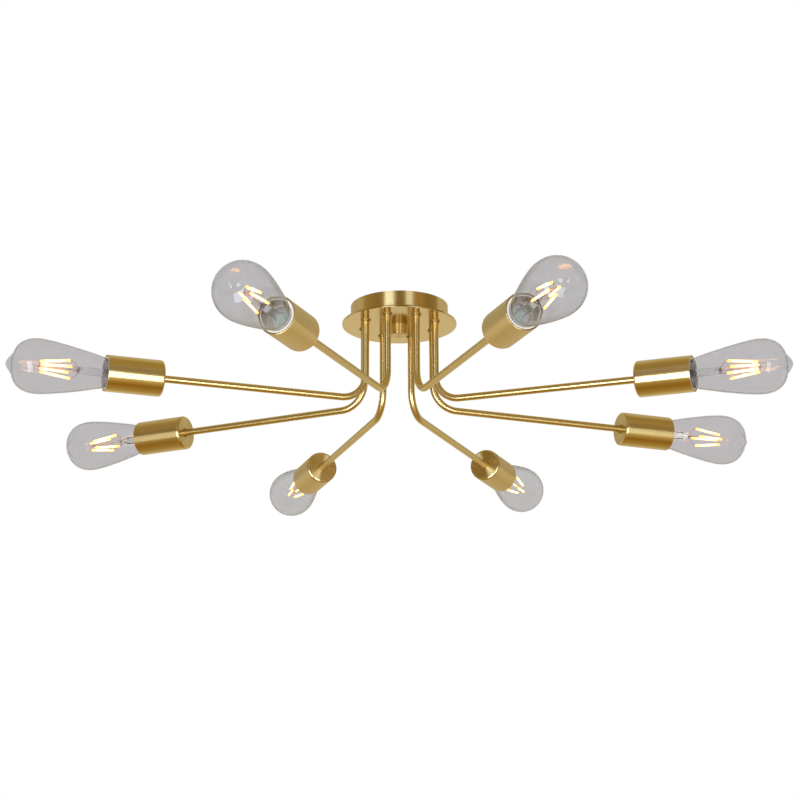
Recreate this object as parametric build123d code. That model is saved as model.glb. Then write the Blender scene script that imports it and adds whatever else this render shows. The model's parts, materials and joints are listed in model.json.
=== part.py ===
"""Semi-flush chandelier: eight bent brass arms that swivel under a round ceiling canopy, each with
a deep cup, a screw lampholder and a clear filament bulb. Millimetres, +Z up, origin on the ceiling
at the canopy's centre, front towards -Y."""
from build123d import *
import math
import os

# ---------------------------------------------------------------- driving dimensions, mm and degrees
# canopy
DRUM_RADIUS = 60.7
DRUM_WALL = 1.5
DRUM_FLOOR_Z = -22.0          # underside of the drum's floor, on which the plate sits
PLATE_RADIUS = 71.3
PLATE_THICKNESS = 2.5
PLATE_Z = DRUM_FLOOR_Z - PLATE_THICKNESS
EDGE_ROUND = 0.8
PLATE_EDGE_ROUND = 0.3
OVERCUT = 1.0                 # how far a cutting solid runs past the faces it cuts

# crossbar that is screwed to the ceiling box
BAR_LENGTH = 106.0
BAR_WIDTH = 20.0
BAR_THICKNESS = 2.0
BAR_CORNER = 5.0
SLOT_SPACING = 79.4           # between the two slots' centres
SLOT_LENGTH = 14.5
SLOT_WIDTH = 4.8
GROUND_SCREW_X = 22.0
GROUND_SCREW_RADIUS = 2.0
GROUND_HEAD_RADIUS = 4.0
GROUND_HEAD_HEIGHT = 2.4

# centre nipple, its nut and the finial
NIPPLE_RADIUS = 5.0
NIPPLE_BORE = 3.2
NIPPLE_BOTTOM_Z = -31.0
THREAD_GAP = 0.05             # between a drawn thread and the hole around it
CLEARANCE_GAP = 0.3
LOCKNUT_FLATS = 16.0
LOCKNUT_HEIGHT = 4.0
FINIAL_RADIUS = 10.3
FINIAL_HEIGHT = 12.8
FINIAL_BORE_DEPTH = 8.0
FINIAL_ROUND = 1.2

# arms
ARM_COUNT = 8
FIRST_ROOT_ANGLE = -67.5      # the root nearest the front on the right
ROOT_CIRCLE_RADIUS = 46.5
ARM_TURNS = (-6.4, -4.2, -8.0, -5.1, -6.7, -5.7, -5.4, -2.4)   # each arm's swivel off its radial line
ARM_TILTS = (-0.1, -1.0, -1.0, -1.2, -1.6, -0.5, -0.3, -0.7)   # each arm's rise above level
TUBE_RADIUS = 4.3
TUBE_WALL = 0.9
ELBOW_Z = -126.6              # where the stem's line meets the arm's line
BEND_RADIUS = 31.5
CUP_BACK = 254.6              # distances along the arm, from the elbow's corner
SHOULDER_RADIUS = 5.7
SHOULDER_LENGTH = 2.5
TUBE_END_INSIDE_CUP = 7.0

# swivel bush of each arm
RUNNING_GAP = 0.05
BUSH_FLANGE_RADIUS = 6.2
BUSH_FLANGE_HEIGHT = 1.6
BUSH_BODY_RADIUS = 5.2
BUSH_TOP_Z = -16.0
BUSH_NUT_FLATS = 13.0
BUSH_NUT_HEIGHT = 3.0
BELL_RADIUS = 5.8             # turned-over top of the arm tube, which hangs on the bush
BELL_HEIGHT = 1.0
BELL_GAP = 0.1

# socket cup
CUP_LENGTH = 67.0
CUP_RADIUS = 21.5
CUP_WALL = 1.1
CUP_BACK_ROUND = 3.0
CUP_LIP_ROUND = 0.4
CUP_FRONT = CUP_BACK + CUP_LENGTH

# lampholder inside the cup
HOLDER_BACK = CUP_BACK + 4.0
HOLDER_BACK_WALL = 5.0
HOLDER_FRONT = CUP_FRONT - 0.5
HOLDER_RADIUS = 19.6
COLLAR_BORE = 17.6            # wide front part of the bore, round the bulb's neck
COLLAR_FLOOR = CUP_FRONT - 17.0
HOLDER_BASE_RADIUS = 11.0
HOLDER_BORE = 14.4
HOLDER_FLOOR = HOLDER_BACK + HOLDER_BACK_WALL + TUBE_END_INSIDE_CUP     # bottom of the bore
SHELL_RADIUS = 14.0
SHELL_WALL = 0.4
SHELL_THREAD = 0.2
SHELL_BEHIND = 4.0            # from the bore's bottom to the screw shell
SHELL_RECESS = 1.0            # from the screw shell to the collar's floor
SCREW_PITCH = 3.63
CONTACT_BASE_RADIUS = 6.0
CONTACT_BASE_THICKNESS = 0.6
CONTACT_RADIUS = 3.0
LEAD_RADIUS = 0.9
LEAD_OFFSET = 1.15
LEAD_ABOVE_TUBE = 3.0

# bulb
GLASS_NECK = CUP_FRONT - 14.0
GLASS_NECK_RADIUS = 13.6
GLASS_WALL = 0.8
GLASS_RADIUS = 32.0
GLASS_TIP = CUP_FRONT + 114.6
GLASS_WIDEST = GLASS_TIP - 36.9
NECK_HANDLE = (24.6, 7.9)     # curve handle of the neck: along the bulb, outwards
WAIST_HANDLE = 15.1           # curve handles behind and before the widest place
DOME_HANDLE = 19.9
DOME_END = (6.0, 12.0)        # where the dome runs into the nipple: behind the tip, radius
DOME_END_HANDLE = (7.6, 22.5)
NIPPLE_HANDLES = ((5.2, 8.6), (2.9, 7.2))
NIPPLE_SIDE = (1.8, 6.2)
NOSE_HANDLES = ((0.5, 4.8), (0.0, 3.2))
SEAL_THICKNESS = 3.0          # solid glass where the tip was melted shut
CAP_LENGTH = 21.0
CAP_RADIUS = 13.0
CAP_RIB = 0.8
CAP_WALL = 0.5
CAP_PLAIN_BACK = 1.0          # unthreaded ends of the cap
CAP_PLAIN_FRONT = 4.0
CAP_FLARE = 0.4
CAP_FLARE_LENGTH = 3.0
INSULATOR_LENGTH = 4.0
INSULATOR_TIP_RADIUS = 7.0
BUTTON_RADIUS = 4.5
BUTTON_LENGTH = 1.6
CAP_BACK = GLASS_NECK - CAP_LENGTH
BUTTON_END = CAP_BACK - INSULATOR_LENGTH - BUTTON_LENGTH
BOARD_THICKNESS = 1.6         # driver board in the cap
BOARD_FRONT = GLASS_NECK - 3.0

# glass stem and filaments inside the bulb
STEM_FOOT_RADIUS = GLASS_NECK_RADIUS - GLASS_WALL
STEM_FOOT_LENGTH = 11.5
STEM_RADIUS = 4.5
STEM_TIP_RADIUS = 3.6
STEM_TIP = CUP_FRONT + 33.0
SUPPORT_RADIUS = 0.7
SUPPORT_END = CUP_FRONT + 78.0
FILAMENT_COUNT = 4
FIRST_FILAMENT_ANGLE = 45.0
FILAMENT_RADIUS = 1.0
FILAMENT_START = CUP_FRONT + 41.5
FILAMENT_LENGTH = 33.5
FILAMENT_START_OUT = 11.0
FILAMENT_END_OUT = 6.5

# wiring inside the canopy
WIRE_Z = -12.0
BUNDLE_RADIUS = 2.4
BUNDLE_CIRCLE = 27.0
BUNDLE_START = 60.0           # degrees round the canopy; the second bundle is half a turn on
BUNDLE_SPAN = 85.0
CONNECTOR_LENGTH = 16.0
CONNECTOR_MOUTH = 6.0
CONNECTOR_TIP = 4.0
CONNECTOR_ROUND = 1.0
GROUND_WIRE_RADIUS = 1.1
GROUND_WIRE_BEND = 4.0
GROUND_CONNECTOR_X = 29.0
GROUND_CONNECTOR_MOUTH = 4.6
GROUND_CONNECTOR_TIP = 3.2

os.makedirs("parts", exist_ok=True)


def save(name, *solids):
    """Write one node; several solids stay separate in it."""
    shape = solids[0] if len(solids) == 1 else Compound(children=list(solids))
    shape.label = name
    export_step(shape, f"parts/{name}.step")


def rod(radius, low, high):
    """Upright cylinder between two heights."""
    return Pos(0, 0, (low + high) / 2) * Cylinder(radius, high - low)


def ring(outer, inner, low, high):
    return rod(outer, low, high) - rod(inner, low - OVERCUT, high + OVERCUT)


def hex_nut(flats, hole, low, high):
    side = extrude(RegularPolygon(flats / 2, 6, major_radius=False), high - low)
    return Pos(0, 0, low) * side - rod(hole, low - OVERCUT, high + OVERCUT)


def turned(*points):
    """Solid of revolution about the X axis from (along, radius) points."""
    return revolve(make_face(Polyline(*points, close=True)), Axis.X)


def root_angle(index):
    return FIRST_ROOT_ANGLE + index * 360.0 / ARM_COUNT


def root_places():
    """The eight places of the arm roots round the canopy."""
    for index in range(ARM_COUNT):
        angle = math.radians(root_angle(index))
        yield Pos(ROOT_CIRCLE_RADIUS * math.cos(angle), ROOT_CIRCLE_RADIUS * math.sin(angle), 0)


def arm_place(index):
    """From an arm's own frame, stem on Z and arm towards +X, to its place on the canopy."""
    return list(root_places())[index] * Rot(0, 0, root_angle(index) + ARM_TURNS[index])


def along_place(index):
    """From the arm's straight axis as X, from the elbow's corner, to its place on the canopy."""
    return arm_place(index) * Pos(0, 0, ELBOW_Z) * Rot(0, -ARM_TILTS[index], 0)


# ---------------------------------------------------------------- canopy
def canopy_holes(low, high):
    holes = rod(NIPPLE_RADIUS + CLEARANCE_GAP, low, high)
    for place in root_places():
        holes += place * rod(BUSH_BODY_RADIUS + THREAD_GAP, low, high)
    return holes


def canopy_drum():
    drum = rod(DRUM_RADIUS, DRUM_FLOOR_Z, 0)
    drum = fillet(drum.edges().group_by(Axis.Z)[0], EDGE_ROUND)
    drum -= rod(DRUM_RADIUS - DRUM_WALL, DRUM_FLOOR_Z + DRUM_WALL, OVERCUT)
    return drum - canopy_holes(DRUM_FLOOR_Z - OVERCUT, 0)


def canopy_plate():
    plate = rod(PLATE_RADIUS, PLATE_Z, DRUM_FLOOR_Z)
    plate = fillet(plate.edges(), PLATE_EDGE_ROUND)
    return plate - canopy_holes(PLATE_Z - OVERCUT, 0)


def ceiling_crossbar():
    bar = Pos(0, 0, -BAR_THICKNESS / 2) * Box(BAR_LENGTH, BAR_WIDTH, BAR_THICKNESS)
    bar = fillet(bar.edges().filter_by(Axis.Z), BAR_CORNER)
    slot = extrude(SlotOverall(SLOT_LENGTH, SLOT_WIDTH), 2 * BAR_THICKNESS, both=True)
    for side in (-1, 1):
        bar -= Pos(side * SLOT_SPACING / 2, 0, 0) * slot
    low = -BAR_THICKNESS - OVERCUT
    bar -= Pos(GROUND_SCREW_X, 0, 0) * rod(GROUND_SCREW_RADIUS + THREAD_GAP, low, OVERCUT)
    return bar - rod(NIPPLE_RADIUS + THREAD_GAP, low, OVERCUT)


def ground_screw():
    screw = rod(GROUND_SCREW_RADIUS, -BAR_THICKNESS, 0)
    head = rod(GROUND_HEAD_RADIUS, -BAR_THICKNESS - GROUND_HEAD_HEIGHT, -BAR_THICKNESS)
    head = fillet(head.edges().group_by(Axis.Z)[0], EDGE_ROUND)
    return Pos(GROUND_SCREW_X, 0, 0) * (screw + head)


def canopy_finial():
    finial = rod(FINIAL_RADIUS, PLATE_Z - FINIAL_HEIGHT, PLATE_Z)
    finial = fillet(finial.edges().group_by(Axis.Z)[0], FINIAL_ROUND)
    return finial - rod(NIPPLE_RADIUS + THREAD_GAP, PLATE_Z - FINIAL_BORE_DEPTH, PLATE_Z + OVERCUT)


def arm_bush():
    """Flanged bush that clamps plate and drum together and carries the turning stem."""
    flange = rod(BUSH_FLANGE_RADIUS, PLATE_Z - BUSH_FLANGE_HEIGHT, PLATE_Z)
    flange = fillet(flange.edges().group_by(Axis.Z)[0], EDGE_ROUND)
    body = rod(BUSH_BODY_RADIUS, PLATE_Z, BUSH_TOP_Z)
    bore = rod(TUBE_RADIUS + RUNNING_GAP, PLATE_Z - BUSH_FLANGE_HEIGHT - OVERCUT, BUSH_TOP_Z + OVERCUT)
    return flange + body - bore


def bush_nut():
    low = DRUM_FLOOR_Z + DRUM_WALL
    return hex_nut(BUSH_NUT_FLATS, BUSH_BODY_RADIUS + THREAD_GAP, low, low + BUSH_NUT_HEIGHT)


# ---------------------------------------------------------------- wiring inside the canopy
def wire_bundle(start):
    arc = CenterArc((0, 0, WIRE_Z), BUNDLE_CIRCLE, start, BUNDLE_SPAN)
    section = Plane(arc @ 0, z_dir=arc % 0) * Circle(BUNDLE_RADIUS)
    return sweep(section, path=arc)


def connector(mouth, tip):
    """Twist-on wire connector along X, mouth at the origin, with a rounded end."""
    cone = turned((0, 0), (0, mouth), (CONNECTOR_LENGTH, tip), (CONNECTOR_LENGTH, 0))
    return fillet(cone.edges().sort_by(Axis.X)[-1], CONNECTOR_ROUND)


def bundle_connector(start):
    """A connector on the start of a bundle, pointing back along its circle."""
    return Rot(0, 0, start) * Pos(BUNDLE_CIRCLE, 0, WIRE_Z) * Rot(0, 0, -90) * connector(
        CONNECTOR_MOUTH, CONNECTOR_TIP)


def ground_connector():
    return Pos(GROUND_CONNECTOR_X, 0, WIRE_Z) * connector(GROUND_CONNECTOR_MOUTH, GROUND_CONNECTOR_TIP)


def ground_lead():
    top = -BAR_THICKNESS - GROUND_HEAD_HEIGHT
    path = FilletPolyline(
        (GROUND_SCREW_X, 0, top),
        (GROUND_SCREW_X, 0, WIRE_Z),
        (GROUND_CONNECTOR_X, 0, WIRE_Z),
        radius=GROUND_WIRE_BEND,
    )
    return sweep(Plane(path @ 0, z_dir=path % 0) * Circle(GROUND_WIRE_RADIUS), path=path)


# ---------------------------------------------------------------- one arm, in its own frame
def bent_path(tilt, top, end):
    """Down the stem, round the bend and out along the arm to a distance from the corner."""
    rise = math.radians(tilt)
    tip = (end * math.cos(rise), 0, ELBOW_Z + end * math.sin(rise))
    return FilletPolyline((0, 0, top), (0, 0, ELBOW_Z), tip, radius=BEND_RADIUS)


def tube_top():
    return BUSH_TOP_Z + BELL_GAP + BELL_HEIGHT


def arm_tube(index):
    """Bent tube with a turned-over top that hangs on the bush and a shoulder for the cup."""
    path = bent_path(ARM_TILTS[index], tube_top(), CUP_BACK + TUBE_END_INSIDE_CUP)
    start = Plane(path @ 0, z_dir=path % 0)
    tube = sweep(start * Circle(TUBE_RADIUS), path=path)
    tube += rod(BELL_RADIUS, tube_top() - BELL_HEIGHT, tube_top())
    shoulder_back = CUP_BACK - SHOULDER_LENGTH
    shoulder = turned(
        (shoulder_back, 0),
        (shoulder_back, SHOULDER_RADIUS),
        (CUP_BACK, SHOULDER_RADIUS),
        (CUP_BACK, 0),
    )
    tube += Pos(0, 0, ELBOW_Z) * Rot(0, -ARM_TILTS[index], 0) * shoulder
    return tube - sweep(start * Circle(TUBE_RADIUS - TUBE_WALL), path=path)


def arm_leads(index):
    """The two insulated leads inside the tube, side by side across the bend."""
    path = bent_path(ARM_TILTS[index], tube_top() + LEAD_ABOVE_TUBE, HOLDER_FLOOR)
    start = Plane(path @ 0, x_dir=(0, 1, 0), z_dir=path % 0)
    for side in (-1, 1):
        section = start * Pos(side * LEAD_OFFSET, 0) * Circle(LEAD_RADIUS)
        yield sweep(section, path=path)


# ---------------------------------------------------------------- pieces turned about the arm's axis
def socket_cup():
    """Deep cup with a rounded back, open at the front."""
    cup = turned((CUP_BACK, 0), (CUP_BACK, CUP_RADIUS), (CUP_FRONT, CUP_RADIUS), (CUP_FRONT, 0))
    cup = fillet(cup.edges().sort_by(Axis.X)[0], CUP_BACK_ROUND)
    inner = CUP_RADIUS - CUP_WALL
    floor = CUP_BACK + CUP_WALL
    mouth = CUP_FRONT + OVERCUT
    cavity = turned((floor, 0), (floor, inner), (mouth, inner), (mouth, 0))
    cavity = fillet(cavity.edges().sort_by(Axis.X)[0], CUP_BACK_ROUND - CUP_WALL)
    low, high = CUP_BACK - OVERCUT, floor + OVERCUT
    hole = turned((low, 0), (low, TUBE_RADIUS), (high, TUBE_RADIUS), (high, 0))
    cup -= cavity + hole
    lip = cup.edges().group_by(Axis.X)[-1]
    return fillet(lip, CUP_LIP_ROUND)


def holder_body():
    """Insulating body of the lampholder, screwed on the tube's end against the cup's floor."""
    return turned(
        (CUP_BACK + CUP_WALL, TUBE_RADIUS),
        (CUP_BACK + CUP_WALL, HOLDER_BASE_RADIUS),
        (HOLDER_BACK, HOLDER_BASE_RADIUS),
        (HOLDER_BACK + HOLDER_BACK_WALL, HOLDER_RADIUS),
        (HOLDER_FRONT, HOLDER_RADIUS),
        (HOLDER_FRONT, COLLAR_BORE),
        (COLLAR_FLOOR, COLLAR_BORE),
        (COLLAR_FLOOR, HOLDER_BORE),
        (HOLDER_FLOOR, HOLDER_BORE),
        (HOLDER_FLOOR, TUBE_RADIUS),
    )


def thread_outline(start, end, crest, depth):
    """Points of a screw thread drawn as rings: crests at one radius, roots a depth further in."""
    points = []
    for turn in range(int((end - start) / SCREW_PITCH)):
        base = start + turn * SCREW_PITCH
        points.append((base + SCREW_PITCH / 4, crest))
        points.append((base + SCREW_PITCH * 3 / 4, crest - depth))
    return points


def screw_shell():
    """Metal screw shell that lines the lampholder's bore."""
    start = HOLDER_FLOOR + SHELL_BEHIND
    end = COLLAR_FLOOR - SHELL_RECESS
    inside = thread_outline(start, end, SHELL_RADIUS - SHELL_WALL + SHELL_THREAD, SHELL_THREAD)
    return turned((start, SHELL_RADIUS), *inside, (end, SHELL_RADIUS))


def centre_contact():
    """Contact on the bore's bottom, up to just behind the bulb's button."""
    base_end = HOLDER_FLOOR + CONTACT_BASE_THICKNESS
    tip = BUTTON_END - CLEARANCE_GAP
    return turned(
        (HOLDER_FLOOR, 0),
        (HOLDER_FLOOR, CONTACT_BASE_RADIUS),
        (base_end, CONTACT_BASE_RADIUS),
        (base_end, CONTACT_RADIUS),
        (tip, CONTACT_RADIUS),
        (tip, 0),
    )


def from_tip(point, inset=0.0):
    """Outline point from its distance behind the glass tip and its radius."""
    back, radius = point
    return GLASS_TIP - back, radius - inset


def glass_sides(inset):
    """Outline from the neck to the end of the dome, moved inwards by inset."""
    neck = (GLASS_NECK, GLASS_NECK_RADIUS - inset)
    widest = (GLASS_WIDEST, GLASS_RADIUS - inset)
    body = Bezier(
        neck,
        (GLASS_NECK + NECK_HANDLE[0], GLASS_NECK_RADIUS + NECK_HANDLE[1] - inset),
        (GLASS_WIDEST - WAIST_HANDLE, GLASS_RADIUS - inset),
        widest,
    )
    dome = Bezier(
        widest,
        (GLASS_WIDEST + DOME_HANDLE, GLASS_RADIUS - inset),
        from_tip((DOME_END_HANDLE[0] + inset, DOME_END_HANDLE[1]), inset),
        from_tip((DOME_END[0] + inset, DOME_END[1]), inset),
    )
    return body, dome


def glass_outside():
    """Solid inside the outer surface, nipple included."""
    side = from_tip(NIPPLE_SIDE)
    nipple = Bezier(from_tip(DOME_END), *[from_tip(handle) for handle in NIPPLE_HANDLES], side)
    nose = Bezier(side, *[from_tip(handle) for handle in NOSE_HANDLES], (GLASS_TIP, 0))
    base = Line((GLASS_NECK, 0), (GLASS_NECK, GLASS_NECK_RADIUS))
    axis = Line((GLASS_TIP, 0), (GLASS_NECK, 0))
    return revolve(make_face([*glass_sides(0), nipple, nose, axis, base]), Axis.X)


def glass_inside():
    """The hollow, closed by a very flat cone before the solid seal."""
    body, dome = glass_sides(GLASS_WALL)
    seal = GLASS_TIP - SEAL_THICKNESS
    front = Line(dome @ 1, (seal, 0))
    axis = Line((seal, 0), (GLASS_NECK, 0))
    base = Line((GLASS_NECK, 0), (GLASS_NECK, GLASS_NECK_RADIUS - GLASS_WALL))
    return revolve(make_face([body, dome, front, axis, base]), Axis.X)


def bulb_glass():
    return glass_outside() - glass_inside()


def bulb_cap():
    """Screw cap: threaded metal shell, insulator, solder button and the driver board inside."""
    root = CAP_RADIUS - CAP_RIB
    inner = root - CAP_WALL
    shell = turned(
        (CAP_BACK, inner),
        (CAP_BACK, root),
        *thread_outline(CAP_BACK + CAP_PLAIN_BACK, GLASS_NECK - CAP_PLAIN_FRONT, CAP_RADIUS, CAP_RIB),
        (GLASS_NECK - CAP_FLARE_LENGTH, CAP_RADIUS),
        (GLASS_NECK, CAP_RADIUS + CAP_FLARE),
        (GLASS_NECK, inner),
    )
    end = CAP_BACK - INSULATOR_LENGTH
    insulator = turned((CAP_BACK, 0), (CAP_BACK, root), (end, INSULATOR_TIP_RADIUS), (end, 0))
    button = turned((end, 0), (end, BUTTON_RADIUS), (BUTTON_END, BUTTON_RADIUS / 2), (BUTTON_END, 0))
    back = BOARD_FRONT - BOARD_THICKNESS
    board = turned((back, 0), (back, inner), (BOARD_FRONT, inner), (BOARD_FRONT, 0))
    return shell, insulator, button, board


def bulb_filaments():
    """Glass stem, centre support and four straight filaments in a cage that narrows to the tip."""
    stem = turned(
        (GLASS_NECK, 0),
        (GLASS_NECK, STEM_FOOT_RADIUS),
        (GLASS_NECK + STEM_FOOT_LENGTH, STEM_RADIUS),
        (STEM_TIP, STEM_TIP_RADIUS),
        (STEM_TIP, 0),
    )
    support = turned(
        (STEM_TIP, 0),
        (STEM_TIP, SUPPORT_RADIUS),
        (SUPPORT_END, SUPPORT_RADIUS),
        (SUPPORT_END, 0),
    )
    solids = [stem, support]
    lean = math.degrees(math.asin((FILAMENT_START_OUT - FILAMENT_END_OUT) / FILAMENT_LENGTH))
    for index in range(FILAMENT_COUNT):
        bar = Pos(FILAMENT_LENGTH / 2, 0, 0) * Rot(0, 90, 0) * Cylinder(FILAMENT_RADIUS, FILAMENT_LENGTH)
        bar = Pos(FILAMENT_START, 0, FILAMENT_START_OUT) * Rot(0, lean, 0) * bar
        turn = FIRST_FILAMENT_ANGLE + index * 360.0 / FILAMENT_COUNT
        solids.append(Rot(turn, 0, 0) * bar)
    return solids


# ---------------------------------------------------------------- nodes
def save_canopy():
    save("canopy_drum", canopy_drum())
    save("canopy_plate", canopy_plate())
    save("ceiling_crossbar", ceiling_crossbar())
    save("centre_nipple", ring(NIPPLE_RADIUS, NIPPLE_BORE, NIPPLE_BOTTOM_Z, 0))
    top = -BAR_THICKNESS
    locknut = hex_nut(LOCKNUT_FLATS, NIPPLE_RADIUS + THREAD_GAP, top - LOCKNUT_HEIGHT, top)
    save("nipple_locknut", locknut)
    save("canopy_finial", canopy_finial())
    save("arm_bushes", *[place * arm_bush() for place in root_places()])
    save("bush_nuts", *[place * bush_nut() for place in root_places()])
    save("ground_screw", ground_screw())
    save("ground_lead", ground_lead())
    starts = (BUNDLE_START, BUNDLE_START + 180)
    save("canopy_wiring", *[wire_bundle(start) for start in starts])
    save("wire_connectors", *[bundle_connector(start) for start in starts], ground_connector())


def save_arm(index):
    number = index + 1
    out = along_place(index)
    save(f"arm_tube_{number}", arm_place(index) * arm_tube(index))
    save(f"socket_cup_{number}", out * socket_cup())
    leads = [arm_place(index) * lead for lead in arm_leads(index)]
    socket = [out * piece for piece in (holder_body(), screw_shell(), centre_contact())]
    save(f"lampholder_{number}", *socket, *leads)
    save(f"bulb_cap_{number}", *[out * piece for piece in bulb_cap()])
    save(f"bulb_glass_{number}", out * bulb_glass())
    save(f"bulb_filaments_{number}", *[out * piece for piece in bulb_filaments()])


save_canopy()
for arm in range(ARM_COUNT):
    save_arm(arm)
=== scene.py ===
"""Looks of the eight-arm semi-flush chandelier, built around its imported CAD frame.

Metres, +Z up, origin on the ceiling at the canopy's centre, front towards -Y. Most pieces keep their
CAD meshes and get their finish here. The bulbs' glass and filaments are replaced: each bulb's glass,
stem, glowing filaments and their wires are finer pieces that ride on the bulb's body."""
import json
import math

import bmesh
import bpy
from mathutils import Matrix, Vector


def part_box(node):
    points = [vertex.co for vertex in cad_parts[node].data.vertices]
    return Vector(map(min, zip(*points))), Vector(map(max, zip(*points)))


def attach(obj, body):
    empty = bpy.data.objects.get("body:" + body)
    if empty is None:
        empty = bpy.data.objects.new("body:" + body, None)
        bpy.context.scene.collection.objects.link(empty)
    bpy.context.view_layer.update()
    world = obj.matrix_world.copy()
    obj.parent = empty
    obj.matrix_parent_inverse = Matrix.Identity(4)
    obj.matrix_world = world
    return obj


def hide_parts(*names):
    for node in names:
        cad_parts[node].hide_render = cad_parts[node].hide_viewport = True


MM = 0.001
UP = Vector((0.0, 0.0, 1.0))
ARMS = range(1, 9)

# ---------------------------------------------------------------- driving values
# camera, in metres and degrees: low in front of the fixture, looking up
CAMERA_PLACE = (-0.15175, -2.15399, -0.76623)
CAMERA_AIM = (0.0004, 0.0, -0.1215)
CAMERA_ROLL = -0.22
CAMERA_LENS = 82.21
SENSOR_WIDTH = 36.0

# arms and cups
BEND_RADIUS = 31.5 * MM
BEND_CENTRE_Z = -126.6 * MM + BEND_RADIUS
CUP_LENGTH = 67.0 * MM

# bulb, along its axis from the middle of the cup's mouth
NECK = -14.0 * MM
NECK_RADIUS = 13.6 * MM
TIP = 114.6 * MM
WIDEST = TIP - 36.9 * MM
GLASS_RADIUS = 32.0 * MM
GLASS_WALL = 0.8 * MM
CAP_BACK = NECK - 21.0 * MM
INSULATOR_BACK = CAP_BACK - 4.0 * MM
CEMENT_RADIUS = 11.5 * MM
BOARD_RADIUS = 8.2 * MM
STEM_FOOT_RADIUS = 12.6 * MM
STEM_FOOT_LENGTH = 11.5 * MM
STEM_FOOT_BACK = NECK + 0.2 * MM
STEM_RADIUS = 4.5 * MM
STEM_WALL = 0.8 * MM
STEM_TIP = 33.0 * MM
STEM_FOOT_STEPS = 8
# the stem's pinched press: distance behind its tip in millimetres, and share of the stem's radius
PRESS_OUTSIDE = ((10.0, 1.0), (6.0, 0.85), (2.0, 0.75), (0.5, 0.5), (0.0, 0.0))
PRESS_INSIDE = ((8.0, 0.5), (7.0, 0.0))
STEM_BORE_END = STEM_TIP - 11.0 * MM
FILAMENT_COUNT = 4
FILAMENT_START = 41.5 * MM
FILAMENT_LENGTH = 33.5 * MM
FILAMENT_START_OUT = 11.0 * MM
FILAMENT_END_OUT = 6.5 * MM
CORE_RADIUS = 1.0 * MM
COAT_RADIUS = 1.45 * MM
SUPPORT_RADIUS = 0.5 * MM
SUPPORT_START = STEM_TIP - 4.0 * MM
SUPPORT_END = 78.0 * MM
WIRE_RADIUS = 0.35 * MM
WIRE_TAIL = 1.0 * MM
WIRE_TOP = SUPPORT_END - 1.0 * MM
# where a wire leaves the stem and where it bends: along the axis, and share of the filament's start
WIRE_FOOT = (STEM_TIP - 3.0 * MM, 0.15)
WIRE_KNEE = (STEM_TIP + 3.0 * MM, 0.8)
# a wire's domed end: how far beyond the end and how wide, in shares of the wire's radius
WIRE_DOME = ((0.5, 0.6), (0.7, 0.0))
# how far each bulb is turned about its own axis, degrees
BULB_TURNS = (20.0, 37.0, 10.0, 40.0, 60.0, 12.0, 2.0, 80.0)

# lampholder, along the same axis
HOLDER_FLOOR = -51.0 * MM
HOLDER_BORE = 14.2 * MM
COLLAR_BORE = 17.65 * MM
COLLAR_BACK = -15.0 * MM
LEADS_RADIUS = 2.4 * MM
ZONE_MARGIN = 0.05 * MM         # moves a zone's edge just off a flat face

# meshes
LATHE_SEGMENTS = 48
GLASS_SEGMENTS = 96
WIRE_SEGMENTS = 16
SHARP_ANGLE = 40.0              # degrees between faces that meet in a sharp edge

# floor and lights
FLOOR_Z = -2.2
FLOOR_SIZE = 600.0
FLOOR_CELLS = 8
LIGHT_AIM = (0.0, 0.0, -0.12)
LIGHT_COLOUR = (0.68, 0.81, 1.0)
SOFTBOXES = (
    # name, place, width, height, power
    ("softbox_left", (-0.93, -1.75, -0.72), 0.75, 1.4, 28.0),
    ("softbox_right", (0.62, -1.85, -0.72), 0.55, 1.4, 16.0),
)
# what brass sees round the X axis, by degrees from the front: below -180 to 0, above 0 to 180
RING = (
    (-180, (0.55, 0.50, 0.40)),
    (-172, (0.59, 0.52, 0.40)),
    (-160, (0.60, 0.54, 0.42)),
    (-142, (0.46, 0.38, 0.21)),
    (-120, (0.35, 0.25, 0.09)),
    (-101, (0.33, 0.19, 0.045)),
    (-80, (0.34, 0.19, 0.03)),
    (-58, (0.50, 0.35, 0.12)),
    (-42, (0.55, 0.46, 0.30)),
    (-5, (0.42, 0.33, 0.18)),
    (3, (0.24, 0.16, 0.035)),
    (31, (0.27, 0.17, 0.05)),
    (48, (0.36, 0.26, 0.10)),
    (97, (0.42, 0.32, 0.14)),
    (128, (0.52, 0.48, 0.38)),
    (152, (0.44, 0.40, 0.30)),
    (172, (0.44, 0.40, 0.30)),
    (180, (0.55, 0.50, 0.40)),
)
# brightness of those surroundings by azimuth, degrees from the front: left below 0, right above 0
SIDES = (
    (-180, 1.1), (-110, 1.0), (-88, 0.8), (-50, 0.8), (-35, 1.0), (-9, 0.8), (12, 0.8), (34, 1.1),
    (56, 1.1), (62, 0.75), (95, 0.65), (100, 1.1), (180, 1.1),
)
RAMP_TOP = 2.0                  # brightness that a ramp's 1 stands for, because a ramp ends at 1
# the softboxes' pale surrounds above them, by azimuth and by height
PANELS = (
    (-180, 0.0), (-38, 0.0), (-34, 1.0), (-15, 1.0), (-10, 0.0),
    (12, 0.0), (16, 0.45), (30, 0.45), (36, 0.0),
)
PANEL_HEIGHTS = ((-90, 0.0), (0, 0.0), (6, 1.0), (35, 1.0), (50, 0.0))
PANEL_COLOUR = (0.30, 0.40, 0.60)

# noise detail and roughness: of scratches and crystals, of moulded grain, and of slow changes
FINE = (3.0, 0.6)
FINEST = (4.0, 0.6)
SOFT = (2.0, 0.5)

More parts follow.
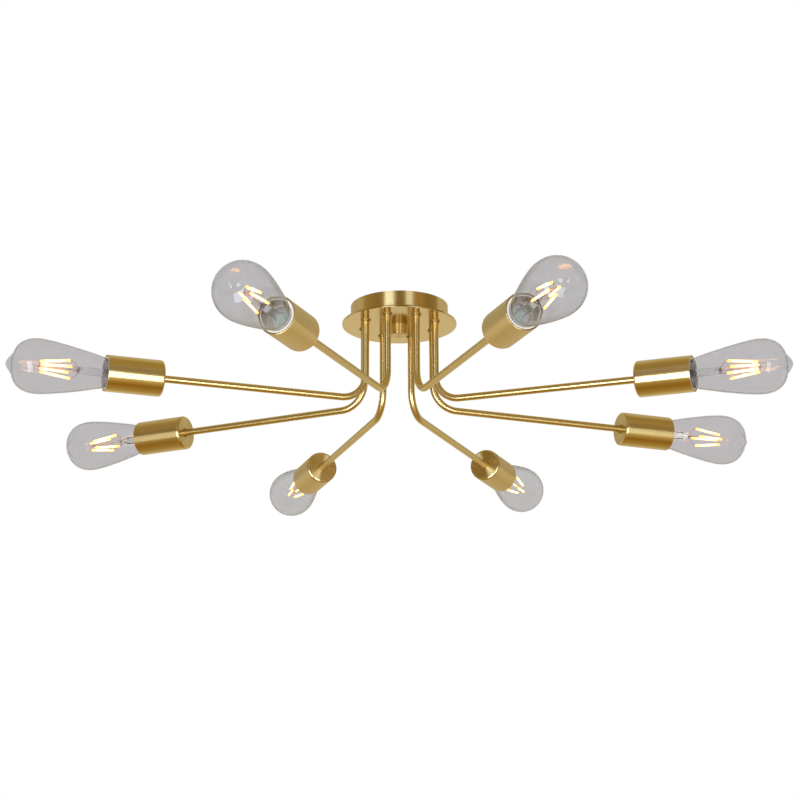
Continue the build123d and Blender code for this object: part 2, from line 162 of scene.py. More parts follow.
# brass
BRASS = (0.87, 0.685, 0.32)
BRASS_DEEP = (0.84, 0.65, 0.29)
MIRRORED_ROUGHNESS = 0.6        # of brass that is only seen in other brass, which keeps glitter down
ROUGHNESS_SPREAD = 0.03         # either way, from scratch to scratch
SCRATCH_DEPTH = 0.02 * MM
WEAR_SCALE = 25.0
GROOVE_SCALE = 4000.0           # turned finish, across its grooves
DRIFT_SCALE = 60.0              # turned finish, along its grooves
STREAK_WIDTH_SCALE = 900.0      # drawn finish, across its streaks
STREAK_LENGTH_SCALE = 20.0      # drawn finish, along its streaks
EVEN_SCALE = 1500.0             # even finish

# grain of the other finishes
GRAIN_HEIGHT = 0.05 * MM
CRYSTAL_ROUGHNESS = (0.25, 0.45)
CRYSTAL_RELIEF = 0.1
CRYSTAL_SHADE = 0.8             # of the darker crystals
MOULDED_SPREAD = 0.06           # of the roughness, either way
MOULDED_RELIEF = 0.08
ZONED_GRAIN_SCALE = 700.0
ZONED_SPREAD = 0.05             # of the roughness, either way
ZONED_RELIEF = 0.06

# glass
GLASS_COLOUR = (0.712, 0.702, 0.712)
STEM_COLOUR = (0.96, 0.96, 0.96)
# painted shade: the glass darkens towards its rim as it turns edge on
RIM_PAINTED_SHADE = (0.16, 0.18, 0.22)
RIM_START = 0.62                # where the painted shade at the rim starts and is full, 0 facing the view to 1 edge on
RIM_FULL = 0.95
GLASS_IOR = 1.45
WAVE_SCALE = 45.0
WAVE_HEIGHT = 0.2 * MM

# filaments
CORE_GLOW = 9.0
COAT_GLOW = 1.6
CORE_COLOUR = (0.9, 0.6, 0.1, 1.0)
COAT_GRAIN_SCALE = 1500.0
END_GLOW = (1.0, 0.50, 0.05)
NEAR_END_GLOW = (1.0, 0.58, 0.10)
MIDDLE_GLOW = (1.0, 0.80, 0.45)

# other colours
ZINC = (0.70, 0.70, 0.68)
COPPER = (0.75, 0.40, 0.28)
SCREW_GREEN = (0.12, 0.42, 0.20)
LEAD_GREEN = (0.10, 0.42, 0.18)
LEAD_BLACK = (0.04, 0.04, 0.04)
CONNECTOR_ORANGE = (0.80, 0.45, 0.12)
FLOOR_COLOUR = (0.9, 0.9, 0.89)
WHITE = (1.0, 1.0, 1.0)

# zones of the lampholder and the cap: colour, metallic, roughness
PORCELAIN = ((0.70, 0.58, 0.46), 0.0, 0.2)
# the collar's bore: brass-brown metal that stands for painted shade and a painted reflection of the brass
# round it
COLLAR_PAINTED_SHADE_AND_REFLECTION = ((0.62, 0.46, 0.24), 1.0, 0.35)
NICKEL = ((0.74, 0.72, 0.68), 1.0, 0.3)
INSULATION = ((0.05, 0.05, 0.05), 0.0, 0.45)
CEMENT = ((0.93, 0.89, 0.80), 0.0, 0.6)
BOARD = ((0.70, 0.88, 0.72), 0.0, 0.35)
INSULATOR = ((0.04, 0.04, 0.045), 0.0, 0.15)
SOLDER = ((0.62, 0.62, 0.60), 1.0, 0.35)
FAR = 10.0                      # beyond the whole fixture, for zones with no limit

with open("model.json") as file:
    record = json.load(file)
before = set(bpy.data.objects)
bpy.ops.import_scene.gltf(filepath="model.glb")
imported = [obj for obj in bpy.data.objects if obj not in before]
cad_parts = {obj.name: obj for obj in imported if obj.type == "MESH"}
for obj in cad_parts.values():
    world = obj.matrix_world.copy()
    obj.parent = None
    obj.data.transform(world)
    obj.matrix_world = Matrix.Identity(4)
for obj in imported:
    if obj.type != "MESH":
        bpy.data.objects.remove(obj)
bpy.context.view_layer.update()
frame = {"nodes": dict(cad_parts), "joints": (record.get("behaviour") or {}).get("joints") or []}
JOINTS = {joint["name"]: joint for joint in frame["joints"]}


# ---------------------------------------------------------------- places from the frame
def arm_root(number):
    return Vector(JOINTS[f"arm_{number}_swivel"]["pos_m"])


def arm_out(number):
    """Direction of an arm, away from the canopy."""
    return Vector(JOINTS[f"bulb_{number}_unscrew"]["axis"]).normalized()


def mouth(number):
    """Middle of a cup's mouth."""
    low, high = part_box(f"socket_cup_{number}")
    return (low + high) / 2 + arm_out(number) * CUP_LENGTH / 2


def bulb_place(number):
    """From a bulb's own frame, X out along the arm from the middle of the cup's mouth, to its place."""
    out = arm_out(number)
    side = UP.cross(out).normalized()
    turn = Matrix((out, side, out.cross(side))).transposed().to_4x4()
    screwed_in = Matrix.Rotation(math.radians(BULB_TURNS[number - 1]), 4, "X")
    return Matrix.Translation(mouth(number)) @ turn @ screwed_in


# ---------------------------------------------------------------- node helpers
class Nodes:
    """Short calls for building one node tree."""

    def __init__(self, tree):
        self.tree = tree

    def add(self, kind, **settings):
        node = self.tree.nodes.new(kind)
        for name, value in settings.items():
            setattr(node, name, value)
        return node

    def feed(self, socket, value):
        """Link an output to an input, or set the input when value is a plain number or tuple."""
        if isinstance(value, bpy.types.NodeSocket):
            self.tree.links.new(value, socket)
        else:
            socket.default_value = value

    def place(self):
        return self.add("ShaderNodeTexCoord").outputs["Object"]

    def math(self, operation, first, second=0.0):
        node = self.add("ShaderNodeMath", operation=operation)
        self.feed(node.inputs[0], first)
        self.feed(node.inputs[1], second)
        return node.outputs[0]

    def both(self, *factors):
        """Product of several numbers, such as masks of 0 and 1."""
        total = factors[0]
        for factor in factors[1:]:
            total = self.math("MULTIPLY", total, factor)
        return total

    def vector(self, operation, first, second=(0.0, 0.0, 0.0)):
        node = self.add("ShaderNodeVectorMath", operation=operation)
        self.feed(node.inputs[0], first)
        self.feed(node.inputs[1], second)
        return node.outputs["Value"] if operation in ("DOT_PRODUCT", "LENGTH") else node.outputs[0]

    def scaled(self, vector, factor):
        node = self.add("ShaderNodeVectorMath", operation="SCALE")
        self.feed(node.inputs[0], vector)
        self.feed(node.inputs["Scale"], factor)
        return node.outputs[0]

    def combine(self, x, y, z):
        node = self.add("ShaderNodeCombineXYZ")
        for socket, value in zip(node.inputs, (x, y, z)):
            self.feed(socket, value)
        return node.outputs[0]

    def noise(self, vector, scale, detail, roughness):
        node = self.add("ShaderNodeTexNoise")
        self.feed(node.inputs["Vector"], vector)
        node.inputs["Scale"].default_value = scale
        node.inputs["Detail"].default_value = detail
        node.inputs["Roughness"].default_value = roughness
        return node.outputs["Fac"]

    def ramp(self, factor, *stops):
        """Colour ramp from (position, grey or colour) stops."""
        node = self.add("ShaderNodeValToRGB")
        self.feed(node.inputs[0], factor)
        elements = node.color_ramp.elements
        while len(elements) < len(stops):
            elements.new(1.0)
        for element, (position, colour) in zip(elements, stops):
            element.position = position
            rgb = (colour,) * 3 if isinstance(colour, (int, float)) else colour
            element.color = (*rgb, 1.0)
        return node.outputs[0]

    def span(self, value, low, high):
        """Map 0..1 to low..high."""
        node = self.add("ShaderNodeMapRange")
        self.feed(node.inputs["Value"], value)
        node.inputs["To Min"].default_value = low
        node.inputs["To Max"].default_value = high
        return node.outputs["Result"]

    def mix(self, factor, first, second):
        """Blend two colours."""
        node = self.add("ShaderNodeMix", data_type="RGBA")
        self.feed(node.inputs[0], factor)
        for socket, value in ((node.inputs[6], first), (node.inputs[7], second)):
            self.feed(socket, value if isinstance(value, bpy.types.NodeSocket) else (*value, 1.0))
        return node.outputs[2]

    def blend(self, factor, first, second):
        """Blend two numbers."""
        node = self.add("ShaderNodeMix", data_type="FLOAT")
        self.feed(node.inputs[0], factor)
        self.feed(node.inputs[2], first)
        self.feed(node.inputs[3], second)
        return node.outputs[0]

    def bump(self, height, strength, distance):
        node = self.add("ShaderNodeBump")
        self.feed(node.inputs["Height"], height)
        node.inputs["Strength"].default_value = strength
        node.inputs["Distance"].default_value = distance
        return node.outputs["Normal"]

    def transform(self, vector, kind, source, target):
        """A VECTOR or NORMAL turned from one space, OBJECT or WORLD, to another."""
        node = self.add(
            "ShaderNodeVectorTransform", vector_type=kind, convert_from=source, convert_to=target)
        self.feed(node.inputs[0], vector)
        return node.outputs[0]


def new_material(name, **sockets):
    """A Principled material; sockets names shader inputs, with _ for spaces, and their values."""
    material = bpy.data.materials.new(name)
    material.use_nodes = True
    nodes = Nodes(material.node_tree)
    shader = material.node_tree.nodes["Principled BSDF"]
    for socket, value in sockets.items():
        shader.inputs[socket.replace("_", " ")].default_value = value
    return material, nodes, shader.inputs


# ---------------------------------------------------------------- metals
def brass(name, shape, roughness, anisotropy=0.0, relief=0.05, shade=1.0):
    """Brushed brass; shape gives its scratch coordinates and, if any, the way its gloss is drawn out."""
    material, nodes, inputs = new_material(name, Metallic=1.0, Anisotropic=anisotropy)
    scratch_place, flow = shape(nodes)
    scratches = nodes.noise(scratch_place, 1.0, *FINE)
    wear = nodes.noise(nodes.place(), WEAR_SCALE, *FINE)
    again = nodes.math("GREATER_THAN", nodes.add("ShaderNodeLightPath").outputs["Glossy Depth"], 0.5)
    finish = nodes.span(scratches, roughness - ROUGHNESS_SPREAD, roughness + ROUGHNESS_SPREAD)
    nodes.feed(inputs["Roughness"], nodes.math("MAXIMUM", finish, nodes.both(again, MIRRORED_ROUGHNESS)))
    tint = nodes.math("ADD", nodes.both(scratches, 0.5), nodes.both(wear, 0.5))
    # a shade below 1 darkens the whole colour as painted shade
    deep, bright = (tuple(shade * value for value in colour) for colour in (BRASS_DEEP, BRASS))
    nodes.feed(inputs["Base Color"], nodes.ramp(tint, (0.35, deep), (0.65, bright)))
    nodes.feed(inputs["Normal"], nodes.bump(scratches, relief, SCRATCH_DEPTH))
    if flow:
        flow = nodes.transform(flow, "VECTOR", "OBJECT", "WORLD")
        nodes.feed(inputs["Tangent"], nodes.vector("NORMALIZE", flow))
    return material


def turned(axis, centre):
    """Turned about an axis: scratches run round it, and the gloss is drawn out across them."""
    def shape(nodes):
        from_centre = nodes.vector("SUBTRACT", nodes.place(), tuple(centre))
        round_axis = nodes.vector("CROSS_PRODUCT", tuple(axis), from_centre)
        along = nodes.vector("DOT_PRODUCT", from_centre, tuple(axis))
        out = nodes.vector("LENGTH", round_axis)
        grooves = nodes.combine(nodes.both(along, GROOVE_SCALE), nodes.both(out, GROOVE_SCALE), 0.0)
        drift = nodes.scaled(nodes.place(), DRIFT_SCALE)
        normal = nodes.add("ShaderNodeNewGeometry").outputs["Normal"]
        normal = nodes.transform(normal, "NORMAL", "WORLD", "OBJECT")
        flow = nodes.vector("CROSS_PRODUCT", round_axis, normal)
        return nodes.vector("ADD", grooves, drift), flow
    return shape


def drawn(number):
    """Polished round the bent tube of an arm: the gloss is drawn out along it, round its bend too."""
    def shape(nodes):
        out = arm_out(number)
        bend_centre = arm_root(number) + out * BEND_RADIUS
        bend_centre.z = BEND_CENTRE_Z
        from_centre = nodes.vector("SUBTRACT", nodes.place(), tuple(bend_centre))
        away = nodes.vector("DOT_PRODUCT", from_centre, tuple(out))
        rise = nodes.vector("DOT_PRODUCT", from_centre, tuple(UP))
        run = nodes.both(nodes.math("MINIMUM", rise, 0.0), -1.0)
        drop = nodes.math("MINIMUM", away, 0.0)
        flow = nodes.vector("ADD", nodes.scaled(tuple(out), run), nodes.scaled(tuple(UP), drop))
        sideways = nodes.vector("DOT_PRODUCT", from_centre, tuple(UP.cross(out).normalized()))
        across = nodes.both(sideways, STREAK_WIDTH_SCALE)
        along = nodes.both(away, STREAK_LENGTH_SCALE)
        return nodes.combine(across, along, 0.0), flow
    return shape


def even(nodes):
    """Finished evenly: fine grain and no direction."""
    return nodes.scaled(nodes.place(), EVEN_SCALE), None


def crystalline(name, colour, grain_scale):
    """Plated or bare metal with a faint crystal pattern."""
    material, nodes, inputs = new_material(name, Metallic=1.0)
    cells = nodes.add("ShaderNodeTexVoronoi")
    nodes.feed(cells.inputs["Vector"], nodes.place())
    cells.inputs["Scale"].default_value = grain_scale
    grain = nodes.noise(nodes.place(), 4 * grain_scale, *FINE)
    tone = nodes.both(cells.outputs["Distance"], grain)
    darker = tuple(CRYSTAL_SHADE * value for value in colour)
    nodes.feed(inputs["Base Color"], nodes.ramp(tone, (0.0, colour), (0.5, darker)))
    nodes.feed(inputs["Roughness"], nodes.span(grain, *CRYSTAL_ROUGHNESS))
    nodes.feed(inputs["Normal"], nodes.bump(grain, CRYSTAL_RELIEF, GRAIN_HEIGHT))
    return material


# ---------------------------------------------------------------- other materials
def moulded(name, colour, roughness, grain_scale=900.0, cloud_scale=40.0, cloud_shade=0.88):
    """Plastic or paint with a fine grain and slightly uneven colour."""
    material, nodes, inputs = new_material(name)
    grain = nodes.noise(nodes.place(), grain_scale, *FINEST)
    cloud = nodes.noise(nodes.place(), cloud_scale, *SOFT)
    darker = tuple(cloud_shade * value for value in colour)
    nodes.feed(inputs["Base Color"], nodes.ramp(cloud, (0.35, darker), (0.65, colour)))
    uneven = nodes.span(grain, roughness - MOULDED_SPREAD, roughness + MOULDED_SPREAD)
    nodes.feed(inputs["Roughness"], uneven)
    nodes.feed(inputs["Normal"], nodes.bump(grain, MOULDED_RELIEF, GRAIN_HEIGHT))
    return material


def clear_glass(name, colour, waviness):
    """Blown glass, slightly tinted, with painted shade darkening it towards its rim, and faint waves in
    its surface.
    """
    material, nodes, inputs = new_material(name, Roughness=0.0, IOR=GLASS_IOR, Transmission_Weight=1.0)
    facing = nodes.add("ShaderNodeLayerWeight").outputs["Facing"]
    # painted shade, darker as the glass turns edge on
    nodes.feed(inputs["Base Color"], nodes.ramp(facing, (RIM_START, colour), (RIM_FULL, RIM_PAINTED_SHADE)))
    waves = nodes.noise(nodes.place(), WAVE_SCALE, *SOFT)
    nodes.feed(inputs["Normal"], nodes.bump(waves, waviness, WAVE_HEIGHT))
    return material


def arm_zones(nodes, number):
    """Distance along an arm's axis from the cup's mouth, and out from that axis."""
    from_mouth = nodes.vector("SUBTRACT", nodes.place(), tuple(mouth(number)))
    along = nodes.vector("DOT_PRODUCT", from_mouth, tuple(arm_out(number)))
    out = nodes.vector("LENGTH", nodes.vector("CROSS_PRODUCT", from_mouth, tuple(arm_out(number))))
    return along, out


def seen_glow(nodes, strength):
    """Strength of a glow that shows in the view and in its own glass, and not in brass past the glass."""
    path = nodes.add("ShaderNodeLightPath")
    mirrored = nodes.math("GREATER_THAN", path.outputs["Glossy Depth"], 0.5)
    outside = nodes.both(mirrored, path.outputs["Is Transmission Ray"])
    return nodes.both(nodes.math("SUBTRACT", 1.0, outside), strength)


def filament_glow(number):
    """White-hot core of a bulb's filaments, deeper yellow towards both ends."""
    material, nodes, inputs = new_material(f"filament_glow_{number}", Base_Color=CORE_COLOUR)
    material.cycles.emission_sampling = "NONE"
    nodes.feed(inputs["Emission Strength"], seen_glow(nodes, CORE_GLOW))
    share = nodes.add("ShaderNodeMapRange")
    along, _ = arm_zones(nodes, number)
    nodes.feed(share.inputs["Value"], along)
    share.inputs["From Min"].default_value = FILAMENT_START
    share.inputs["From Max"].default_value = FILAMENT_START + FILAMENT_LENGTH
    nodes.feed(inputs["Emission Color"], nodes.ramp(
        share.outputs[0],
        (0.0, END_GLOW), (0.1, NEAR_END_GLOW), (0.22, MIDDLE_GLOW),
        (0.78, MIDDLE_GLOW), (0.9, NEAR_END_GLOW), (1.0, END_GLOW),
    ))
    return material


def filament_coat():
    """See-through phosphor coat that glows amber round the core."""
    material, nodes, inputs = new_material("filament_coat", Alpha=0.5, Roughness=0.4)
    material.cycles.emission_sampling = "NONE"
    grain = nodes.noise(nodes.place(), COAT_GRAIN_SCALE, *FINE)
    nodes.feed(inputs["Base Color"], nodes.ramp(grain, (0.3, (0.9, 0.5, 0.05)), (0.7, (1.0, 0.65, 0.12))))
    glow = nodes.ramp(grain, (0.3, (1.0, 0.42, 0.05)), (0.7, (1.0, 0.50, 0.08)))
    nodes.feed(inputs["Emission Color"], glow)
    nodes.feed(inputs["Emission Strength"], seen_glow(nodes, COAT_GLOW))
    return material


def zoned(name, number, base, *zones):
    """One material with zones: along from, along to, out from, out to, colour, metallic, roughness."""
    material, nodes, inputs = new_material(name)
    along, out = arm_zones(nodes, number)
    grain = nodes.noise(nodes.place(), ZONED_GRAIN_SCALE, *FINEST)
    colour, metallic, roughness = base
    for start, end, inner, outer, zone_colour, zone_metallic, zone_roughness in zones:
        mask = nodes.both(
            nodes.math("GREATER_THAN", along, start),
            nodes.math("LESS_THAN", along, end),
            nodes.math("GREATER_THAN", out, inner),
            nodes.math("LESS_THAN", out, outer),
        )
        colour = nodes.mix(mask, colour, zone_colour)
        metallic = nodes.blend(mask, metallic, zone_metallic)
        roughness = nodes.blend(mask, roughness, zone_roughness)
    shade = nodes.ramp(grain, (0.3, 0.85), (0.6, 1.0))
    nodes.feed(inputs["Base Color"], nodes.vector("MULTIPLY", colour, shade))
    nodes.feed(inputs["Metallic"], metallic)
    uneven = nodes.span(grain, -ZONED_SPREAD, ZONED_SPREAD)
    nodes.feed(inputs["Roughness"], nodes.math("ADD", roughness, uneven))
    nodes.feed(inputs["Normal"], nodes.bump(grain, ZONED_RELIEF, GRAIN_HEIGHT))
    return material


def lampholder_finish(number):
    """Porcelain body with its collar's bore in brass-brown metal as painted shade and a painted
    reflection of the brass, nickel screw shell and contact, two insulated leads.
    """
    return zoned(
        f"lampholder_{number}", number, PORCELAIN,
        # painted shade and painted reflection of the brass in the collar's bore
        (COLLAR_BACK, FAR, HOLDER_BORE, COLLAR_BORE, *COLLAR_PAINTED_SHADE_AND_REFLECTION),
        (HOLDER_FLOOR + ZONE_MARGIN, FAR, 0.0, HOLDER_BORE, *NICKEL),
        (-FAR, HOLDER_FLOOR, 0.0, LEADS_RADIUS, *INSULATION),
        (-FAR, -CUP_LENGTH, 0.0, FAR, *INSULATION),
    )


def cap_finish(number):
    """Nickel shell, black insulator, solder button, and the driver board in its ring of cement."""
    return zoned(
        f"bulb_cap_{number}", number, NICKEL,
        (CAP_BACK + MM, FAR, 0.0, CEMENT_RADIUS, *CEMENT),
        (CAP_BACK + MM, FAR, 0.0, BOARD_RADIUS, *BOARD),
        (-FAR, CAP_BACK - ZONE_MARGIN, 0.0, FAR, *INSULATOR),
        (-FAR, INSULATOR_BACK - ZONE_MARGIN, 0.0, FAR, *SOLDER),
    )


def paint(node, material):
    """Give a CAD node one material."""
    slots = frame["nodes"][node].data.materials
    slots.clear()
    slots.append(material)


def finish_canopy():
    turned_brass = brass("brass_canopy", turned(UP, (0.0, 0.0, 0.0)), roughness=0.26, anisotropy=0.97)
    zinc = crystalline("zinc_steel", ZINC, grain_scale=250.0)
    paint("canopy_drum", turned_brass)
    paint("canopy_finial", turned_brass)
    paint("canopy_plate", brass("brass_plate", even, roughness=0.16))
    # the bushes' brass is darkened to 0.6 as painted shade, so their flanges show as dark rims against
    # the plate
    paint("arm_bushes", brass("brass_bush_painted_shade", even, roughness=0.22, shade=0.6))
    for node in ("ceiling_crossbar", "centre_nipple", "nipple_locknut", "bush_nuts"):
        paint(node, zinc)
    paint("ground_screw", crystalline("green_screw", SCREW_GREEN, grain_scale=400.0))
    paint("ground_lead", moulded("green_insulation", LEAD_GREEN, roughness=0.4))
    paint("canopy_wiring", moulded("black_insulation", LEAD_BLACK, roughness=0.45))
    paint("wire_connectors", moulded("connector_plastic", CONNECTOR_ORANGE, roughness=0.45))


def finish_arm(number):
    lathe_finish = turned(arm_out(number), mouth(number))
    cup = brass(f"brass_cup_{number}", lathe_finish, roughness=0.24, anisotropy=0.97)
    tube = brass(f"brass_tube_{number}", drawn(number), roughness=0.22, anisotropy=0.93, relief=0.01)
    paint(f"socket_cup_{number}", cup)
    paint(f"arm_tube_{number}", tube)
    paint(f"lampholder_{number}", lampholder_finish(number))
    paint(f"bulb_cap_{number}", cap_finish(number))


# ---------------------------------------------------------------- mesh helpers
def spin(bm, profile, matrix=Matrix.Identity(4), segments=LATHE_SEGMENTS):
    """Add the surface of revolution of an (along, radius) profile about X."""
    rings = []
    for along, radius in profile:
        count = segments if radius > 0 else 1
        ring = []
        for step in range(count):
            angle = 2 * math.pi * step / count
            ring.append(bm.verts.new(matrix @ round_the_axis(along, radius, angle)))
        rings.append(ring)
    for first, second in zip(rings, rings[1:]):
        for step in range(segments):
            after = (step + 1) % segments
            corners = (
                first[step % len(first)],
                second[step % len(second)],
                second[after % len(second)],
                first[after % len(first)],
            )
            bm.faces.new(dict.fromkeys(corners))


def round_the_axis(along, radius, angle):
    return Vector((along, radius * math.cos(angle), radius * math.sin(angle)))


def wire(bm, start, end, radius):
    """Add a straight round wire with domed ends."""
    length = (end - start).length
    matrix = Matrix.Translation(start) @ (end - start).to_track_quat("X", "Z").to_matrix().to_4x4()
    profile = [(-beyond * radius, width * radius) for beyond, width in reversed(WIRE_DOME)]
    profile += [(0, radius), (length, radius)]
    profile += [(length + beyond * radius, width * radius) for beyond, width in WIRE_DOME]
    spin(bm, profile, matrix, WIRE_SEGMENTS)


def piece(name, bm, material, place, body):
    """Turn a bmesh, moved to its place, into a smooth-shaded object that rides on a body."""
    bm.transform(place)
    bmesh.ops.recalc_face_normals(bm, faces=bm.faces)
    mesh = bpy.data.meshes.new(name)
    bm.to_mesh(mesh)
    bm.free()
    mesh.shade_smooth()
    mesh.set_sharp_from_angle(angle=math.radians(SHARP_ANGLE))
    mesh.materials.append(material)
    made = bpy.data.objects.new(name, mesh)
    bpy.context.scene.collection.objects.link(made)
    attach(made, body)
    return made


def bezier(start, first, second, end, steps):
    """Points of a cubic curve after its start."""
    points = []
    for step in range(1, steps + 1):
        t = step / steps
        weights = ((1 - t) ** 3, 3 * t * (1 - t) ** 2, 3 * t * t * (1 - t), t ** 3)
        corners = tuple(zip(weights, (start, first, second, end)))
        points.append(tuple(sum(weight * corner[k] for weight, corner in corners) for k in (0, 1)))
    return points


# ---------------------------------------------------------------- bulb
def glass_profile():
    """Outer line of the glass from the neck over the dome to the nipple's tip."""
    def behind_tip(back, radius):
        """A point from its distance behind the tip and its radius, both in millimetres."""
        return TIP - back * MM, radius * MM

    after_neck = (NECK + 24.6 * MM, NECK_RADIUS + 7.9 * MM)
    before_widest = (WIDEST - 15.1 * MM, GLASS_RADIUS)
    after_widest = (WIDEST + 19.9 * MM, GLASS_RADIUS)
    curves = (
        # both handles, the end and the number of steps: body, dome, shoulder of the nipple, nipple
        (after_neck, before_widest, (WIDEST, GLASS_RADIUS), 24),
        (after_widest, behind_tip(10.4, 21.5), behind_tip(8.4, 14.0), 20),
        (behind_tip(7.6, 11.6), behind_tip(4.4, 9.0), behind_tip(3.0, 6.6), 8),
        (behind_tip(1.6, 4.2), behind_tip(0.0, 3.2), behind_tip(0.0, 0.0), 10),
    )
    profile = [(NECK, NECK_RADIUS)]
    for first, second, end, steps in curves:
        profile += bezier(profile[-1], first, second, end, steps)
    return profile


def inset(profile, depth):
    """The same line moved inwards, square to itself."""
    moved = []
    for index, (along, radius) in enumerate(profile):
        before = profile[max(index - 1, 0)]
        after = profile[min(index + 1, len(profile) - 1)]
        run = Vector((after[0] - before[0], after[1] - before[1])).normalized()
        moved.append((along + depth * run.y, max(radius - depth * run.x, 0.0)))
    moved[0] = (profile[0][0], profile[0][1] - depth)
    moved[-1] = (profile[-1][0] - depth, 0.0)
    return moved


def bulb_glass():
    outside = glass_profile()
    inside = inset(outside, GLASS_WALL)
    bm = bmesh.new()
    spin(bm, inside[::-1] + outside, segments=GLASS_SEGMENTS)
    return bm


def filament_ends():
    """The two ends of each filament: nearer the neck, and nearer the tip."""
    slope = math.asin((FILAMENT_START_OUT - FILAMENT_END_OUT) / FILAMENT_LENGTH)
    end = FILAMENT_START + FILAMENT_LENGTH * math.cos(slope)
    for index in range(FILAMENT_COUNT):
        angle = 2 * math.pi * index / FILAMENT_COUNT
        near_neck = round_the_axis(FILAMENT_START, FILAMENT_START_OUT, angle)
        near_tip = round_the_axis(end, FILAMENT_END_OUT, angle)
        yield near_neck, near_tip


def filament_rods(radius):
    bm = bmesh.new()
    for start, end in filament_ends():
        wire(bm, start, end, radius)
    return bm


def filament_wires():
    """Centre support, and the short wires that hold each filament at both ends."""
    bm = bmesh.new()
    wire(bm, Vector((SUPPORT_START, 0, 0)), Vector((SUPPORT_END, 0, 0)), SUPPORT_RADIUS)
    for start, end in filament_ends():
        tail = (end - start).normalized() * WIRE_TAIL
        foot, knee = (
            Vector((along, start.y * share, start.z * share)) for along, share in (WIRE_FOOT, WIRE_KNEE))
        wire(bm, foot, knee, WIRE_RADIUS)
        wire(bm, knee, start - tail, WIRE_RADIUS)
        wire(bm, end + tail, Vector((WIRE_TOP, 0, 0)), WIRE_RADIUS)
    return bm


def glass_stem():
    """Hollow glass stem: a trumpet foot in the neck, a straight tube, and the pinched press on top."""
    foot_end = NECK + STEM_FOOT_LENGTH
    outside = [(STEM_FOOT_BACK, STEM_FOOT_RADIUS)]
    for step in range(1, STEM_FOOT_STEPS + 1):
        angle = step / STEM_FOOT_STEPS * math.pi / 2
        outside.append((
            foot_end - STEM_FOOT_LENGTH * math.cos(angle),
            STEM_FOOT_RADIUS - (STEM_FOOT_RADIUS - STEM_RADIUS) * math.sin(angle),
        ))
    inside = [(along, radius - STEM_WALL) for along, radius in outside]
    inside += [(STEM_BORE_END, STEM_RADIUS - STEM_WALL)]
    inside += [(STEM_TIP - back * MM, share * STEM_RADIUS) for back, share in PRESS_INSIDE]
    outside += [(STEM_TIP - back * MM, share * STEM_RADIUS) for back, share in PRESS_OUTSIDE]
    bm = bmesh.new()
    spin(bm, inside[::-1] + outside)
    return bm


def build_bulbs():
    glass = clear_glass("bulb_glass", GLASS_COLOUR, waviness=0.008)
    stem_glass = clear_glass("stem_glass", STEM_COLOUR, waviness=0.05)
    coat = filament_coat()
    copper = crystalline("filament_wire", COPPER, grain_scale=900.0)
    for number in ARMS:
        place = bulb_place(number)
        body = f"bulb_{number}"
        bulb = piece(f"clear_bulb_{number}", bulb_glass(), glass, place, body)
        # light passes the glass, so the necks and the cups' mouths aren't in its shadow
        bulb.visible_shadow = False
        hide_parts(f"bulb_glass_{number}")
        parts = (
            ("filament_core", filament_rods(CORE_RADIUS), filament_glow(number), "filament"),
            ("filament_coat", filament_rods(COAT_RADIUS), coat, "filament"),
            ("filament_wires", filament_wires(), copper, "cap_metal"),
            ("glass_stem", glass_stem(), stem_glass, "clear_glass"),
        )
        for name, bm, material, slot in parts:
            made = piece(f"{name}_{number}", bm, material, place, body)
            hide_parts(f"bulb_filaments_{number}")


# ---------------------------------------------------------------- studio
def turn_ramp(nodes, factor, stops):
    """Colour ramp over a whole turn, from (angle from -180 to 180 degrees, grey or colour) stops."""
    return nodes.ramp(factor, *[(angle / 360 + 0.5, colour) for angle, colour in stops])


def world_angle(nodes, rise, run):
    """Share of a whole turn, 0 to 1, of the angle whose tangent is rise over run."""
    return nodes.math("ADD", nodes.both(nodes.math("ARCTAN2", rise, run), 1 / (2 * math.pi)), 0.5)


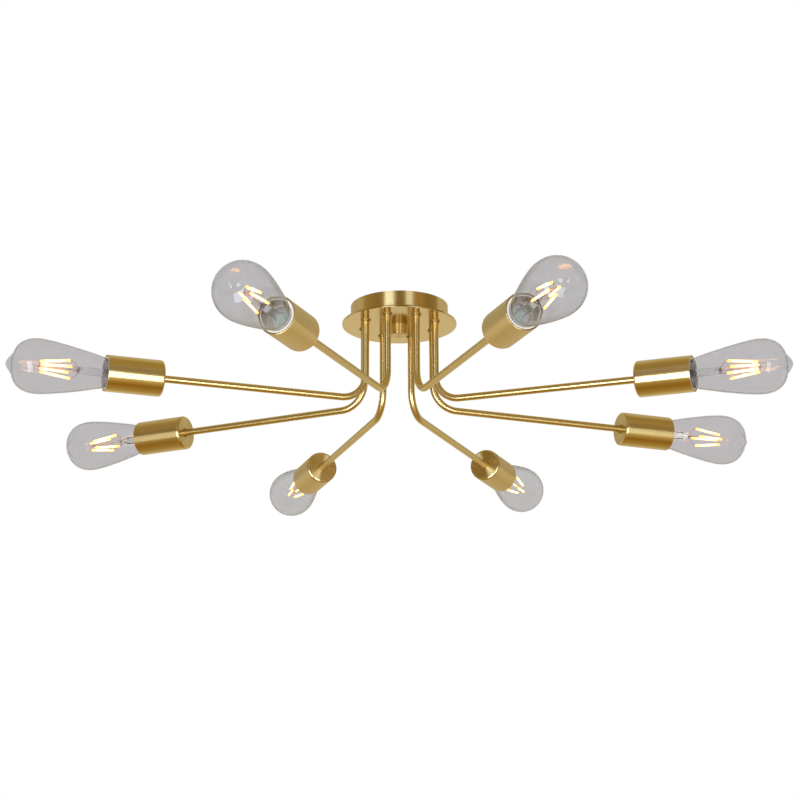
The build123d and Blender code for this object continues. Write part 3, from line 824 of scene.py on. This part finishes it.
def studio_world():
    """White to the camera and as light; brass sees the warm, uneven room of the studio."""
    world = bpy.data.worlds.new("studio")
    bpy.context.scene.world = world
    world.use_nodes = True
    # a sampled world would light the brass with its white and not with the room
    world.cycles.sampling_method = "NONE"
    nodes = Nodes(world.node_tree)
    split = nodes.add("ShaderNodeSeparateXYZ")
    nodes.feed(split.inputs[0], nodes.add("ShaderNodeTexCoord").outputs["Generated"])
    x, y, z = split.outputs
    front = nodes.both(y, -1.0)
    azimuth = world_angle(nodes, x, front)
    height = world_angle(nodes, z, nodes.math("SQRT", nodes.math("SUBTRACT", 1.0, nodes.both(z, z))))
    ring = turn_ramp(nodes, world_angle(nodes, z, front), RING)
    sides = turn_ramp(nodes, azimuth, [(angle, level / RAMP_TOP) for angle, level in SIDES])
    panels = nodes.both(turn_ramp(nodes, azimuth, PANELS), turn_ramp(nodes, height, PANEL_HEIGHTS))
    surroundings = nodes.vector("MULTIPLY", ring, nodes.scaled(sides, RAMP_TOP))
    room = nodes.vector("ADD", surroundings, nodes.scaled(PANEL_COLOUR, panels))
    path = nodes.add("ShaderNodeLightPath").outputs
    mirrored = nodes.math("GREATER_THAN", path["Is Glossy Ray"], path["Is Transmission Ray"])
    background = world.node_tree.nodes["Background"]
    nodes.feed(background.inputs["Color"], nodes.mix(mirrored, WHITE, room))


def area_light(name, place, width, height, power):
    data = bpy.data.lights.new(name, "AREA")
    data.shape = "RECTANGLE"
    data.size = width
    data.size_y = height
    data.energy = power
    data.color = LIGHT_COLOUR
    light = bpy.data.objects.new(name, data)
    light.location = place
    direction = Vector(LIGHT_AIM) - Vector(place)
    light.rotation_euler = direction.to_track_quat("-Z", "Y").to_euler()
    light.visible_camera = False
    light.visible_transmission = False
    bpy.context.scene.collection.objects.link(light)


def studio_floor():
    bm = bmesh.new()
    bmesh.ops.create_grid(bm, x_segments=FLOOR_CELLS, y_segments=FLOOR_CELLS, size=FLOOR_SIZE / 2)
    mesh = bpy.data.meshes.new("floor")
    bm.to_mesh(mesh)
    bm.free()
    mesh.materials.append(moulded(
        "pale_floor", FLOOR_COLOUR, roughness=0.7, grain_scale=200.0, cloud_scale=0.4, cloud_shade=0.98))
    floor = bpy.data.objects.new("floor", mesh)
    floor.location = (0.0, 0.0, FLOOR_Z)
    floor.visible_glossy = False
    bpy.context.scene.collection.objects.link(floor)


def camera():
    data = bpy.data.cameras.new("camera")
    data.lens = CAMERA_LENS
    data.sensor_width = SENSOR_WIDTH
    view = bpy.data.objects.new("camera", data)
    forward = Vector(CAMERA_AIM) - Vector(CAMERA_PLACE)
    turn = forward.to_track_quat("-Z", "Y").to_matrix().to_4x4()
    roll = Matrix.Rotation(math.radians(CAMERA_ROLL), 4, "Z")
    view.matrix_world = Matrix.Translation(CAMERA_PLACE) @ turn @ roll
    bpy.context.scene.collection.objects.link(view)
    bpy.context.scene.camera = view


bpy.context.scene.view_settings.view_transform = "Standard"
camera()
studio_world()
for softbox in SOFTBOXES:
    area_light(*softbox)
studio_floor()
finish_canopy()
for arm in ARMS:
    finish_arm(arm)
build_bulbs()
